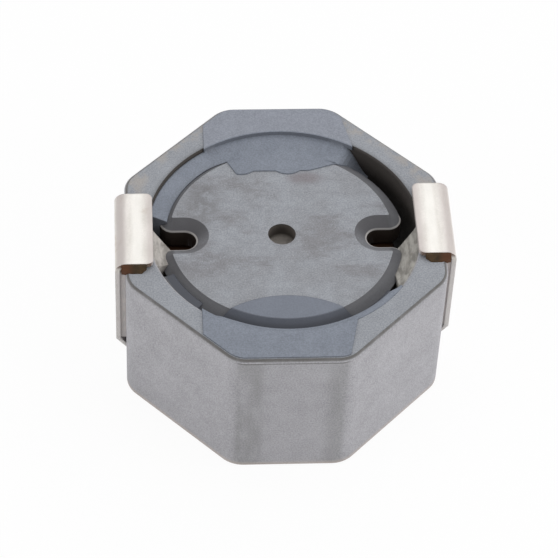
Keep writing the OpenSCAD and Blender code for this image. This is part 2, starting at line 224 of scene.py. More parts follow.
def lathe(section, start=0.0, end=360.0, x=0.0, y=0.0):
    """Turns a closed section of radius against height round an upright axis.

    section is a list of points, or a function that gives one for an angle.
    """
    whole = end - start >= 360
    steps = max(2, round(TURN_STEPS * (end - start) / 360))
    rings = steps if whole else steps + 1
    points = []
    for k in range(rings):
        angle = start + (end - start) * k / steps
        towards = ray(angle)
        drawn = section(angle) if callable(section) else section
        points += [(x + r * towards.x, y + r * towards.y, z) for r, z in drawn]
    count = len(drawn)
    faces = []
    for k in range(steps):
        a, b = k * count, (k + 1) % rings * count
        for i in range(count):
            j = (i + 1) % count
            faces.append((a + i, a + j, b + j, b + i))
    if not whole:
        faces += [list(range(count)), list(range(len(points) - count, len(points)))]
    return solid(points, faces)


def combine(piece, other, operation, keep=False):
    """Unites, cuts or intersects a piece with another, which is used up unless it is kept."""
    step = piece.modifiers.new("step", "BOOLEAN")
    step.operation = operation
    step.solver = "MANIFOLD"
    step.object = other
    evaluated = piece.evaluated_get(bpy.context.evaluated_depsgraph_get())
    made = bpy.data.meshes.new_from_object(evaluated)
    piece.modifiers.clear()
    piece.data = made
    if not keep:
        bpy.data.objects.remove(other)
    return piece


def unite(piece, *others):
    for other in others:
        combine(piece, other, "UNION")
    return piece


def cut(piece, *others):
    for other in others:
        combine(piece, other, "DIFFERENCE")
    return piece


def within(piece, *others):
    for other in others:
        combine(piece, other, "INTERSECT")
    return piece


def copy_of(name):
    """A new object with a CAD node's mesh, in millimetres."""
    node = frame["nodes"][name]
    mesh = node.data.copy()
    mesh.materials.clear()
    mesh.transform(Matrix.Scale(1 / MM, 4) @ node.matrix_world)
    heal(mesh)
    piece = bpy.data.objects.new("form", mesh)
    bpy.context.scene.collection.objects.link(piece)
    return piece


# ---------------------------------------------------------------- sleeve

def octagon(inset):
    """Outline of the sleeve with rounded corners, every side moved inwards by inset."""
    w, d = HALF_W - inset, HALF_D - inset
    c = CORNER_CUT - inset * (2 - math.sqrt(2))
    corners = [
        (w, c - d), (w, d - c), (w - c, d), (c - w, d), (-w, d - c), (-w, c - d), (c - w, -d), (w - c, -d),
    ]
    r = EDGE_R - inset
    half_angle = 22.5
    points = []
    for i, corner in enumerate(corners):
        middle = 45 * i - half_angle
        centre = Vector(corner) - ray(middle, r / math.cos(math.radians(half_angle)))
        points += arc(centre.x, centre.y, r, middle - half_angle, middle + half_angle)
    return points


def sleeve_form():
    """Octagonal sleeve with its bore, and a recess for each clip's lower plate and foot."""
    piece = loft([
        (octagon(LOW_BEVEL), BOTTOM_Z), (octagon(0), BOTTOM_Z + LOW_BEVEL),
        (octagon(0), TOP_Z - TOP_BEVEL), (octagon(TOP_BEVEL), TOP_Z),
    ])
    wide = MOUTH_R + FAR
    cut(piece, lathe([
        (0, BOTTOM_Z - FAR), (wide, BOTTOM_Z - FAR), (BORE_R, BOTTOM_Z + BORE_BEVEL),
        (BORE_R, TOP_Z - BORE_BEVEL), (wide, TOP_Z + FAR), (0, TOP_Z + FAR),
    ]))
    y = (-RECESS_HALF, RECESS_HALF)
    low = BOTTOM_Z - FAR
    for side in (1, -1):
        out = side * (HALF_W + FAR)
        cut(piece, box((side * (HALF_W - RECESS_DEPTH), out), y, (low, RECESS_TOP)))
        cut(piece, box((side * (BORE_R - FAR), out), y, (low, RECESS_DEPTH)))
    return piece


# ---------------------------------------------------------------- drum

def notch_outline(half, side):
    """Plan of a notch: a slot with a round end, open past the rim."""
    points = arc(NOTCH_TIP, 0, half, 90, 270, 24)
    points += [Vector((RIM_R + FAR, -half)), Vector((RIM_R + FAR, half))]
    return [(DRUM_X + side * p.x, p.y) for p in points]


def notch_form(side):
    """Cutter for a notch with its bevelled edge, which goes on above the face at the same slope."""
    return loft([
        (notch_outline(NOTCH_HALF, side), DRUM_TOP - FLANGE_T - FAR),
        (notch_outline(NOTCH_HALF, side), RIM_TOP),
        (notch_outline(NOTCH_HALF + 2 * BEVEL_W, side), DRUM_TOP + BEVEL_H),
    ])


def lip_form(side, way):
    """Cutter for the sharp corner beside a notch; a rounded, bevelled lip is left."""
    overlap = 0.002
    y = NOTCH_HALF + LIP_R - overlap
    x = math.sqrt((RIM_R - LIP_R + overlap) ** 2 - y * y)
    end = ray(math.degrees(math.atan2(y, x)), RIM_R + FAR)
    plan = [(x, y), (x, 0), (RIM_R + FAR, 0), (end.x, end.y)]
    outline = [(DRUM_X + side * px, way * py) for px, py in plan]
    piece = prism(outline, DRUM_TOP - FLANGE_T - FAR, DRUM_TOP + FAR)
    low = DRUM_TOP - FLANGE_T - 2 * FAR
    tip = RIM_TOP + LIP_R * BEVEL_H / BEVEL_W
    post = lathe([(0, low), (LIP_R, low), (LIP_R, RIM_TOP), (0, tip)], x=DRUM_X + side * x, y=way * y)
    return cut(piece, post)


def dimple_form():
    """Cutter for the round-bottomed centre mark."""
    r = DIMPLE_R / 2
    low = DRUM_TOP - DIMPLE_DEPTH
    section = [(0, DRUM_TOP + FAR), (0, low)]
    section += [(p.x, p.y) for p in arc(DIMPLE_R - r, low + r, r, -90, 0)]
    return lathe(section + [(DIMPLE_R, DRUM_TOP + FAR)], x=DRUM_X)


def flange_form():
    """Upper flange with its bevel, notches and centre mark."""
    low = DRUM_TOP - FLANGE_T
    section = [(0, low), (RIM_R, low), (RIM_R, RIM_TOP), (FACE_R, DRUM_TOP), (0, DRUM_TOP)]
    piece = lathe(section, x=DRUM_X)
    for side in (1, -1):
        cut(piece, notch_form(side), lip_form(side, 1), lip_form(side, -1))
    return cut(piece, dimple_form())


def drum_form():
    """The drum: its post and lower flange as they are, and an upper flange of the full width."""
    piece = copy_of("drum_core")
    over = 0.02
    level = DRUM_TOP - FLANGE_T + over
    cut(piece, box((-REACH, REACH), (-REACH, REACH), (level, TOP_Z + FAR)))
    return unite(piece, flange_form())


# ---------------------------------------------------------------- resin

def film_form(reach, side):
    """Film on the sleeve's top at the back or, with side -1, at the front, with a skin down the bore."""
    left, right = reach
    low = TOP_Z - BACK_LEVEL - FILM_T
    piece = prism(octagon(TOP_BEVEL + FILM_T), low, TOP_Z + FILM_T)
    edge = side * HALF_D
    plan = [(-left, 0), (-left, edge), (right, edge), (right + FILM_LEAN * HALF_D, 0)]
    within(piece, prism(plan, low - FAR, TOP_Z + FAR))
    r = BORE_R - FILM_T
    return cut(piece, lathe([(0, low - FAR), (r, low - FAR), (r, TOP_Z + FAR), (0, TOP_Z + FAR)]))


def coat_form():
    """Thin coat that follows the drum's top face and bevel, and ends inside the gap's filling."""
    over = (BORE_R - RIM_R) / 4
    drop = over * BEVEL_H / BEVEL_W
    return lathe([
        (0, RIM_TOP - COAT_T), (0, DRUM_TOP + COAT_T), (FACE_R, DRUM_TOP + COAT_T),
        (RIM_R + over, RIM_TOP + COAT_T - drop), (RIM_R + over, RIM_TOP - COAT_T - drop),
    ], x=DRUM_X)


def ease(value, start, end, low, high):
    """Goes smoothly from low to high while value goes from start to end."""
    t = min(1.0, max(0.0, (value - start) / (end - start)))
    return low + (high - low) * t * t * (3 - 2 * t)


def bead_form(start, end):
    """Bead that fills the gap at the front, flush with the sleeve's top and thin at both ends.

    Its left end sinks to the level of the low filling.
    """
    level = RIM_TOP + COAT_T
    thin_from, thin_to, sunk_to = start + 22, end - 6, start + 14
    thinnest, sharpest = 0.05, 0.7

    def section(angle):
        thin = ease(angle, start, thin_from, 1, 0) + ease(angle, thin_to, end, 0, 1)
        inner = BEAD_IN + thin * (BORE_R - thinnest - BEAD_IN)
        r = BEAD_ROUND * (1 - sharpest * thin)
        top = ease(angle, start, sunk_to, LOW_LEVEL, TOP_Z)
        corner = [(p.x, p.y) for p in arc(inner + r, top - r, r, 180, 90)]
        inside = [(FACE_R, RESIN_LOW), (FACE_R, level), (inner, level)]
        return inside + corner + [(WALL_R, top), (WALL_R, RESIN_LOW)]

    return lathe(section, start, end)


def low_form(start, end):
    """Filling that lies low in the gap."""
    section = [(FACE_R, RESIN_LOW), (FACE_R, LOW_LEVEL), (WALL_R, LOW_LEVEL), (WALL_R, RESIN_LOW)]
    return lathe(section, start, end)


def front_resin_form():
    """Front filling: low at the left, a bead from there to the right, and a round run on the drum."""
    low_from, bead_from, bead_to, overlap = 203, 226, 325, 0.01
    run_y, run_half, run_rise = -2.51, 1.83, 0.585
    run_r = (run_half ** 2 + run_rise ** 2) / (2 * run_rise)
    disc = [(0, RESIN_LOW), (run_r, RESIN_LOW), (run_r, TOP_Z + FAR), (0, TOP_Z + FAR)]
    run = within(coat_form(), lathe(disc, x=DRUM_X, y=run_y - run_r))
    piece = film_form(FRONT_FILM, -1)
    return unite(piece, low_form(low_from, bead_from + overlap), bead_form(bead_from, bead_to), run)


def back_resin_form():
    """Back filling, level at the wall, and its run on the drum.

    It thins out on the drum's face where it runs on, and half-way up the bevel beside the run.
    Its right end sinks into the gap.
    """
    filled_from, filled_to = 47, 170
    run_from, run_to = 57, 118
    risen_at, sinks_by = 60, 0.8
    blend, overlap = 12, 0.03

    def section(angle):
        lap = ease(angle, filled_from, run_from + blend, 1, 0)
        lap += ease(angle, run_to - blend, run_to + blend, 0, 1)
        lap_r = FACE_R - overlap + lap * (BEVEL_W / 2 + overlap)
        lap_z = DRUM_TOP + COAT_T - lap * (BEVEL_H / 2 - COAT_T)
        sunk = ease(angle, filled_from, risen_at, sinks_by, 0)
        wall_z = TOP_Z - BACK_LEVEL - sunk
        return [(lap_r, RESIN_LOW), (lap_r, lap_z - sunk), (MOUTH_R, wall_z), (MOUTH_R, RESIN_LOW)]

    filling = lathe(section, filled_from, filled_to)
    edge, bend, slope = 2.66, 0.9, 0.33
    run = prism([
        (-REACH, 3.1), (-1.72, 3.0), (-1.5, 2.82), (-1.25, 2.7), (-1.0, edge), (bend, edge),
        (bend + REACH, edge + slope * REACH), (0, 2 * REACH), (-REACH, REACH),
    ], RESIN_LOW, TOP_Z + FAR)
    lobe = 0.55
    for x in (-1.2, 0.25):
        disc = [(0, RESIN_LOW), (lobe, RESIN_LOW), (lobe, TOP_Z + FAR), (0, TOP_Z + FAR)]
        unite(run, lathe(disc, x=x, y=edge + 0.75 * lobe))
    fan = [Vector((0, 0)), ray(run_from, REACH), Vector((0, REACH)), ray(run_to, REACH)]
    within(run, prism(fan, RESIN_LOW - FAR, TOP_Z + 2 * FAR), coat_form())
    return unite(film_form(BACK_FILM, 1), filling, run)


def notch_resin_form(fan):
    """Beige resin beside a notch: wide at the bore's wall, narrow at the drum and sloping down to it."""
    inner = FACE_R - BEAD_ROUND
    wall_drop, bend_drop, more = 0.02, 0.25, 3
    piece = lathe([
        (inner, RESIN_LOW), (inner, RIM_TOP - BEAD_ROUND), (BEAD_IN, TOP_Z - bend_drop),
        (MOUTH_R, TOP_Z - wall_drop), (MOUTH_R, RESIN_LOW),
    ], fan[0] - more, fan[1] + more)
    middle = (fan[0] + fan[1]) / 2
    plan = [ray(fan[2], inner), ray(fan[0], MOUTH_R), ray(middle, REACH)]
    plan += [ray(fan[1], MOUTH_R), ray(fan[3], inner)]
    return within(piece, prism(plan, RESIN_LOW - FAR, TOP_Z + FAR))


# ---------------------------------------------------------------- clip adhesive

def wedge_form(clip, side):
    """Wedge squeezed out in front of a tab: it covers the tab's edge and is thickest near its inner end.

    At its outer end it hangs over the sleeve's edge.
    """
    low, high = node_box(clip)
    front = low.y
    clip_out = max(abs(low.x), abs(high.x))
    tip = clip_out - 0.95
    edge = HALF_W + 0.12
    length, height, crest, inset, gap, drop = 0.22, 0.18, 0.07, 0.06, 0.05, 0.1
    section = [
        (front + inset, -drop), (front + inset, gap), (front, gap), (front, height),
        (front - crest, height), (front - length, 0), (front - length, -drop),
    ]
    points = [(side * x, y, TOP_Z + z) for x in (tip, edge) for y, z in section]
    count = len(section)
    faces = [list(range(count)), list(range(count, 2 * count))]
    faces += [(i, (i + 1) % count, (i + 1) % count + count, i + count) for i in range(count)]
    plan = [
        (tip - FAR, front + FAR), (edge + FAR, front + FAR), (edge + FAR, front - 0.6 * length),
        (edge, front - 0.6 * length), (tip + length, front - length - crest), (tip, front - inset),
        (tip - FAR, front - inset),
    ]
    return within(solid(points, faces), prism([(side * x, y) for x, y in plan], TOP_Z - FAR, TOP_Z + FAR))


def adhesive_form(way, side):
    """The layer behind a clip as it is, and a new wedge in front of its tab. way is left or right."""
    clip = "terminal_clip_" + way
    piece = copy_of("clip_adhesive_" + way)
    inset = 0.06
    front = node_box(clip)[0].y + inset
    cut(piece, box((-REACH, REACH), (-REACH, front), (-REACH, REACH)))
    return unite(piece, cut(wedge_form(clip, side), copy_of(clip)))


# ---------------------------------------------------------------- pieces

def seat(piece, *neighbours):
    """Cuts from a resin form what its neighbours fill."""
    for neighbour in neighbours:
        combine(piece, neighbour, "DIFFERENCE", keep=True)
    return piece


def settle(piece, name, node):
    """Scales a finished form to metres and lets it stand for its CAD node."""
    mesh = piece.data
    heal(mesh, SMALLEST_EDGE)
    mesh.transform(Matrix.Scale(MM, 4))
    mesh.shade_smooth()
    mesh.set_sharp_from_angle(angle=math.radians(SHARP_ANGLE))
    drop_crumbs(mesh)
    mesh.name = name
    piece.name = name
    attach(piece, "root")
    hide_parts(node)


def make_forms():
    """Makes every piece that is drawn here, and lists them by the CAD nodes that they stand for."""
    sleeve = sleeve_form()
    drum = drum_form()
    made = [
        (seat(front_resin_form(), sleeve, drum), "front_resin", "core_resin_front"),
        (seat(back_resin_form(), sleeve, drum), "back_resin", "core_resin_back"),
        (seat(notch_resin_form(LEFT_FAN), sleeve, drum), "left_beige_resin", "notch_resin_left"),
        (seat(notch_resin_form(RIGHT_FAN), sleeve, drum), "right_beige_resin", "notch_resin_right"),
        (seat(adhesive_form("left", -1), sleeve), "left_brown_adhesive", "clip_adhesive_left"),
        (seat(adhesive_form("right", 1), sleeve), "right_brown_adhesive", "clip_adhesive_right"),
        (sleeve, "octagonal_sleeve", "shield_core"),
        (drum, "notched_drum", "drum_core"),
    ]
    for piece, name, node in made:
        settle(piece, name, node)
    return {node: piece for piece, name, node in made}


# ---------------------------------------------------------------- colours

def linear(channel):
    """One 8-bit display channel as a linear value."""
    c = channel / 255
    return c / 12.92 if c <= 0.04045 else ((c + 0.055) / 1.055) ** 2.4


def colour(red, green, blue):
    """A display colour, 0 to 255 a channel, as the linear RGBA that the shaders take."""
    return (linear(red), linear(green), linear(blue), 1.0)


# ---------------------------------------------------------------- node trees

class Finish:
    """A material and its principled shader, with short calls for the nodes it is made of.

    Masks are values from 0 to 1. A socket and a plain number can stand for each other.
    """

    def __init__(self, name):
        self.material = bpy.data.materials.new(name)
        self.material.use_nodes = True
        self.tree = self.material.node_tree
        self.tree.nodes.clear()
        self.shader = self.node("ShaderNodeBsdfPrincipled")
        output = self.node("ShaderNodeOutputMaterial")
        self.join(self.shader.outputs["BSDF"], output.inputs["Surface"])
        place = self.node("ShaderNodeTexCoord")
        scale = self.node("ShaderNodeVectorMath")
        scale.operation = "SCALE"
        scale.inputs["Scale"].default_value = 1 / MM
        self.join(place.outputs["Object"], scale.inputs[0])
        self.place = scale.outputs["Vector"]
        self.x, self.y, self.z = self.split(self.place)
        self.normal_x, self.normal_y, self.normal_z = self.split(place.outputs["Normal"])

    def node(self, kind):
        return self.tree.nodes.new(kind)

    def join(self, output, socket):
        self.tree.links.new(output, socket)

    def give(self, value, socket):
        """Puts a socket's output or a constant into a socket."""
        if isinstance(value, bpy.types.NodeSocket):
            self.join(value, socket)
        else:
            socket.default_value = value

    def split(self, vector):
        parts = self.node("ShaderNodeSeparateXYZ")
        self.join(vector, parts.inputs[0])
        return parts.outputs[0], parts.outputs[1], parts.outputs[2]

    def math(self, operation, first, second=0.0):
        n = self.node("ShaderNodeMath")
        n.operation = operation
        self.give(first, n.inputs[0])
        self.give(second, n.inputs[1])
        return n.outputs[0]

    def times(self, *values):
        product = values[0]
        for value in values[1:]:
            product = self.math("MULTIPLY", product, value)
        return product

    def either(self, first, second):
        return self.math("MAXIMUM", first, second)

    def rise(self, value, start, end, low=0.0, high=1.0):
        """Goes smoothly from low to high while value goes from start to end."""
        n = self.node("ShaderNodeMapRange")
        n.interpolation_type = "SMOOTHSTEP"
        self.give(value, n.inputs["Value"])
        n.inputs["From Min"].default_value = start
        n.inputs["From Max"].default_value = end
        n.inputs["To Min"].default_value = low
        n.inputs["To Max"].default_value = high
        return n.outputs["Result"]

    def window(self, value, start, end, soft):
        """1 between start and end, with soft edges that reach out by soft."""
        return self.times(self.rise(value, start - soft, start), self.rise(value, end, end + soft, 1.0, 0.0))

    def distance(self, x, y, stretch=1.0):
        """Distance from an upright line at x, y; Y counts stretch times."""
        dx = self.math("SUBTRACT", self.x, x)
        dy = self.times(self.math("SUBTRACT", self.y, y), stretch)
        return self.math("SQRT", self.math("ADD", self.times(dx, dx), self.times(dy, dy)))

    def noise(self, per_mm, detail=2.0, roughness=0.5, stretch=(1, 1, 1), seed=0.0):
        """Noise with per_mm features in a millimetre, fewer along the axes where stretch is small."""
        mapping = self.node("ShaderNodeMapping")
        self.join(self.place, mapping.inputs["Vector"])
        mapping.inputs["Location"].default_value = (seed, seed / 2, seed / 3)
        mapping.inputs["Scale"].default_value = stretch
        n = self.node("ShaderNodeTexNoise")
        self.join(mapping.outputs["Vector"], n.inputs["Vector"])
        n.inputs["Scale"].default_value = per_mm
        n.inputs["Detail"].default_value = detail
        n.inputs["Roughness"].default_value = roughness
        return n.outputs["Fac"]

    def grains(self, per_mm, size):
        """Mask of scattered round grains, size in cells."""
        n = self.node("ShaderNodeTexVoronoi")
        self.join(self.place, n.inputs["Vector"])
        n.inputs["Scale"].default_value = per_mm
        return self.rise(n.outputs["Distance"], size / 2, size, 1.0, 0.0)

    def mix(self, mask, first, second):
        """Colour first where mask is 0, and second where it is 1."""
        n = self.node("ShaderNodeMix")
        n.data_type = "RGBA"
        self.give(mask, n.inputs["Factor"])
        self.give(first, n.inputs["A"])
        self.give(second, n.inputs["B"])
        # the node has sockets of the same name for each data type, so the colour ones go by index
        return n.outputs[2]

    def shade(self, tint, factor):
        """A colour made lighter or darker by a factor."""
        n = self.node("ShaderNodeVectorMath")
        n.operation = "SCALE"
        self.give(tint, n.inputs[0])
        self.give(factor, n.inputs["Scale"])
        return n.outputs["Vector"]

    def edges(self, width, low, high):
        """Mask of the sharp edges: how far a rounded normal leans from the true one."""
        rounded = self.node("ShaderNodeBevel")
        rounded.inputs["Radius"].default_value = width * MM
        rounded.samples = 6
        true = self.node("ShaderNodeNewGeometry")
        dot = self.node("ShaderNodeVectorMath")
        dot.operation = "DOT_PRODUCT"
        self.join(rounded.outputs["Normal"], dot.inputs[0])
        self.join(true.outputs["Normal"], dot.inputs[1])
        return self.rise(self.math("SUBTRACT", 1.0, dot.outputs["Value"]), low, high)

    def bump(self, height, depth, strength=1.0, under=None):
        """Bump from a height of 0 to 1 that stands for depth, in mm. under is a normal to start from."""
        n = self.node("ShaderNodeBump")
        n.inputs["Strength"].default_value = strength
        n.inputs["Distance"].default_value = depth * MM
        self.give(height, n.inputs["Height"])
        if under is not None:
            self.join(under, n.inputs["Normal"])
        self.join(n.outputs["Normal"], self.shader.inputs["Normal"])
        return n.outputs["Normal"]

    def soften(self, radius):
        """Normal that rounds every sharp edge by radius, in mm."""
        n = self.node("ShaderNodeBevel")
        n.inputs["Radius"].default_value = radius * MM
        n.samples = 6
        return n.outputs["Normal"]

    def finish(self, base, roughness, **constants):
        """Sets the shader: base colour and roughness may be sockets, the rest are constants."""
        self.give(base, self.shader.inputs["Base Color"])
        self.give(roughness, self.shader.inputs["Roughness"])
        for name, value in constants.items():
            self.shader.inputs[name.replace("_", " ")].default_value = value
        return self.material


# ---------------------------------------------------------------- finishes

def chip_mask(f):
    """Mask of the white chip at the left end of the front run."""
    return f.rise(f.distance(-2.1, -3.22), 0.11, 0.05)


def sleeve_ferrite():
    """Sintered ferrite: a ground top, walls paler partly by painted light, bevels darkened by soiling and
    painted shade, painted shade in the bore, and fine light and dark grains.
    """
    f = Finish("sleeve_ferrite")
    up = f.rise(f.normal_z, 0.9, 0.99)
    wall = f.math("SUBTRACT", 1.0, up)
    from_axis = f.distance(0, 0)
    # the walls are paler than the top: partly their as-sintered finish, partly painted light for the light
    # that they catch
    base = f.mix(up, colour(162, 161, 165), colour(150, 153, 159))

    cloud = f.noise(0.7, 3.0, 0.6)
    blotch = f.noise(2.2, 3.0, 0.6, seed=12.0)
    grain = f.noise(20.0, 2.0, 0.8)
    tone = f.math("ADD", f.rise(cloud, 0.3, 0.7, 0.95, 1.04), f.rise(grain, 0.3, 0.7, -0.19, 0.19))
    tone = f.math("ADD", tone, f.rise(blotch, 0.3, 0.7, -0.04, 0.04))
    base = f.shade(base, tone)
    base = f.mix(f.times(f.grains(11.0, 0.22), 0.35), base, colour(186, 186, 190))
    base = f.mix(f.times(f.grains(7.0, 0.14), 0.35), base, colour(108, 108, 112))

    # painted shade: two darker upright stripes on the front wall, near its rounded upright edges
    front = f.rise(f.normal_y, -0.98, -0.9, 1.0, 0.0)
    streak = f.noise(1.2, 3.0, 0.6, stretch=(1, 1, 0.35), seed=3.0)
    left_shade_band = f.window(f.x, -1.6, -1.05, 0.35)
    right_shade_band = f.window(f.x, 1.3, 1.5, 0.4)
    shade_bands = f.times(f.either(left_shade_band, f.times(right_shade_band, 0.7)), front, f.rise(streak, 0.25, 0.6))
    base = f.mix(f.times(shade_bands, 0.45), base, colour(120, 121, 119))

    # soiling and painted shade in the top bevel and a little further down on the front wall, painted shade
    # along the top's outer edge, and painted light, pale and warm, along the foot
    upper = f.times(wall, f.window(f.z, TOP_Z - 0.04, TOP_Z, 0.05), f.rise(from_axis, 4.3, 4.5))
    lower = f.times(wall, f.window(f.z, TOP_Z - 0.1, TOP_Z, 0.08), front)
    dirt_and_shade = f.times(f.either(upper, f.times(lower, 0.85)), f.rise(blotch, 0.2, 0.6, 0.75, 1.0))
    base = f.mix(f.times(dirt_and_shade, 0.85), base, colour(82, 80, 76))
    edge_shade = f.times(up, f.edges(0.08, 0.004, 0.06), f.rise(from_axis, 4.3, 4.6))
    base = f.mix(f.times(edge_shade, 0.35), base, colour(96, 97, 98))
    # painted light: a pale warm band along the foot, where the walls catch the table's light
    low = f.rise(f.z, BOTTOM_Z + 0.04, BOTTOM_Z + 0.22, 1.0, 0.0)
    base = f.mix(f.times(low, 0.55), base, colour(196, 182, 172))

    # painted shade: the bore's wall darkened, and its top edge at the back where no bead lies against it
    inside = f.times(f.rise(from_axis, BORE_R + 0.12, BORE_R + 0.03), wall)
    inside = f.times(inside, f.either(f.rise(f.z, TOP_Z - 0.04, TOP_Z - 0.09), f.rise(f.y, 0.0, 0.5)))
    base = f.mix(f.times(inside, 0.97), base, colour(46, 41, 37))
    mouth_shade = f.times(f.rise(from_axis, BORE_R + 0.2, BORE_R + 0.02), up, f.rise(f.y, 0.0, 0.8))
    base = f.mix(f.times(mouth_shade, 0.45), base, colour(88, 88, 88))

    # a beige tint on the back half of the top, away from the bore
    tint = f.times(up, f.rise(f.y, 0.5, 1.5), f.rise(from_axis, 4.45, 4.8), f.rise(blotch, 0.4, 0.6))
    base = f.mix(f.times(tint, 0.4), base, colour(178, 166, 152))

    # a brown stain along the inner end of the right tab
    brown = f.times(up, f.window(f.y, -0.6, 0.9, 0.4), f.rise(from_axis, BORE_R + 0.25, BORE_R))
    brown = f.times(brown, f.rise(f.x, 3.0, 3.6))
    base = f.mix(f.times(brown, 0.8), base, colour(92, 66, 48))
    f.bump(grain, 0.014, 0.5, f.soften(0.09))
    return f.finish(base, f.rise(grain, 0.2, 0.8, 0.6, 0.8), Specular_IOR_Level=0.3)


def drum_ferrite():
    """Drum ferrite: a ground face with grey smears, a bevel dark with resin and painted shade, and a thin
    light rim line of wear and painted highlight.
    """
    f = Finish("drum_ferrite")
    flat = f.rise(f.normal_z, 0.95, 0.995)
    from_axis = f.distance(DRUM_X, 0)
    cloud = f.noise(0.9, 3.0, 0.62, seed=5.0)
    smear = f.noise(0.55, 4.0, 0.65, stretch=(1, 1.8, 1), seed=9.0)
    blotch = f.noise(3.0, 3.0, 0.6, seed=11.0)
    grain = f.noise(20.0, 2.0, 0.8)
    base = f.mix(f.rise(cloud, 0.35, 0.65), colour(144, 146, 151), colour(154, 157, 163))
    base = f.mix(f.times(f.rise(smear, 0.48, 0.66), 0.7), base, colour(126, 125, 128))
    tone = f.math("ADD", f.rise(grain, 0.3, 0.7, 0.83, 1.17), f.rise(blotch, 0.3, 0.7, -0.05, 0.05))
    base = f.shade(base, tone)
    base = f.mix(f.times(f.grains(9.0, 0.2), 0.35), base, colour(180, 183, 189))
    base = f.mix(f.times(f.grains(6.0, 0.12), 0.35), base, colour(104, 104, 108))

    # smears of resin by the left shoulder and under the back run
    shoulder = f.times(f.rise(f.distance(-2.45, 1.35, 0.6), 0.75, 0.2), f.rise(blotch, 0.35, 0.6))
    base = f.mix(f.times(shoulder, 0.55), base, colour(104, 102, 103))
    under_run = f.times(f.rise(f.distance(0.75, 2.35, 2.2), 0.8, 0.2), f.rise(cloud, 0.3, 0.5))
    base = f.mix(f.times(under_run, 0.5), base, colour(112, 98, 100))
    base = f.mix(f.times(chip_mask(f), 0.8), base, colour(206, 205, 201))

    # the rim's bevel is dark with resin and with painted shade, and the notches' slopes are painted shade,
    # most at the back;
    # the lower edges of those slopes get a painted highlight, and the face's rim a light line of wear and
    # painted highlight
    slope = f.math("SUBTRACT", 1.0, flat)
    rim = f.rise(from_axis, FACE_R - 0.3, FACE_R)
    in_notch = f.times(slope, f.rise(from_axis, FACE_R + 0.1, FACE_R - 0.1))
    base = f.mix(f.times(slope, f.rise(from_axis, FACE_R - 0.15, FACE_R), 0.85), base, colour(95, 95, 98))
    base = f.mix(f.times(in_notch, f.rise(f.normal_y, 0.3, -0.35, 0.55, 0.95)), base, colour(84, 83, 86))
    notch_highlight = f.times(f.window(f.z, RIM_TOP - 0.01, RIM_TOP + 0.02, 0.02), f.rise(from_axis, 2.4, 2.5))
    notch_highlight = f.times(notch_highlight, f.rise(f.math("ABSOLUTE", f.y), 1.0, 0.8), f.rise(f.normal_y, -0.6, -0.3, 0.5, 1.0))
    wear_and_highlight = f.times(f.edges(0.05, 0.003, 0.02), flat, rim, f.rise(blotch, 0.35, 0.6))
    base = f.mix(f.times(wear_and_highlight, 0.35), base, colour(178, 178, 180))

    # painted shade: the flange's upright walls, in the notches, round the rim and in the centre mark, nearly
    # black-brown
    wall = f.rise(f.normal_z, 0.4, 0.15)
    base = f.mix(f.times(wall, 0.95), base, colour(46, 38, 32))
    # painted shade in the centre mark below its edge, and painted light on its floor
    in_dimple = f.rise(from_axis, DIMPLE_R + 0.02, DIMPLE_R - 0.01)
    floor = f.rise(f.z, DRUM_TOP - DIMPLE_DEPTH + 0.06, DRUM_TOP - DIMPLE_DEPTH + 0.2, 1.0, 0.0)
    base = f.mix(f.times(in_dimple, f.rise(f.z, DRUM_TOP - 0.01, DRUM_TOP - 0.05)), base, colour(92, 87, 82))
    base = f.mix(f.times(in_dimple, floor, f.rise(blotch, 0.3, 0.55, 0.6, 1.0)), base, colour(178, 172, 166))
    base = f.mix(f.times(notch_highlight, 0.8), base, colour(198, 195, 192))

    f.bump(grain, 0.012, 0.5, f.soften(0.04))
    return f.finish(base, f.rise(cloud, 0.3, 0.7, 0.55, 0.72), Specular_IOR_Level=0.3)


def enamelled_wire():
    """Copper wire under a clear brown enamel."""
    f = Finish("enamelled_wire")
    drawn = f.noise(3.0, 2.0, 0.5, stretch=(1, 1, 6), seed=2.0)
    base = f.mix(f.rise(drawn, 0.3, 0.7), colour(96, 46, 24), colour(142, 76, 42))
    # painted shade: the wire's upper turns, under the flange and seen through the notches, darker
    base = f.mix(f.rise(f.z, TOP_Z - 2.4, TOP_Z - 1.4, 0.0, 0.9), base, colour(84, 62, 48))
    f.bump(drawn, 0.01, 0.3)
    return f.finish(base, 0.34, Metallic=0.6, Coat_Weight=0.7, Coat_Roughness=0.15)


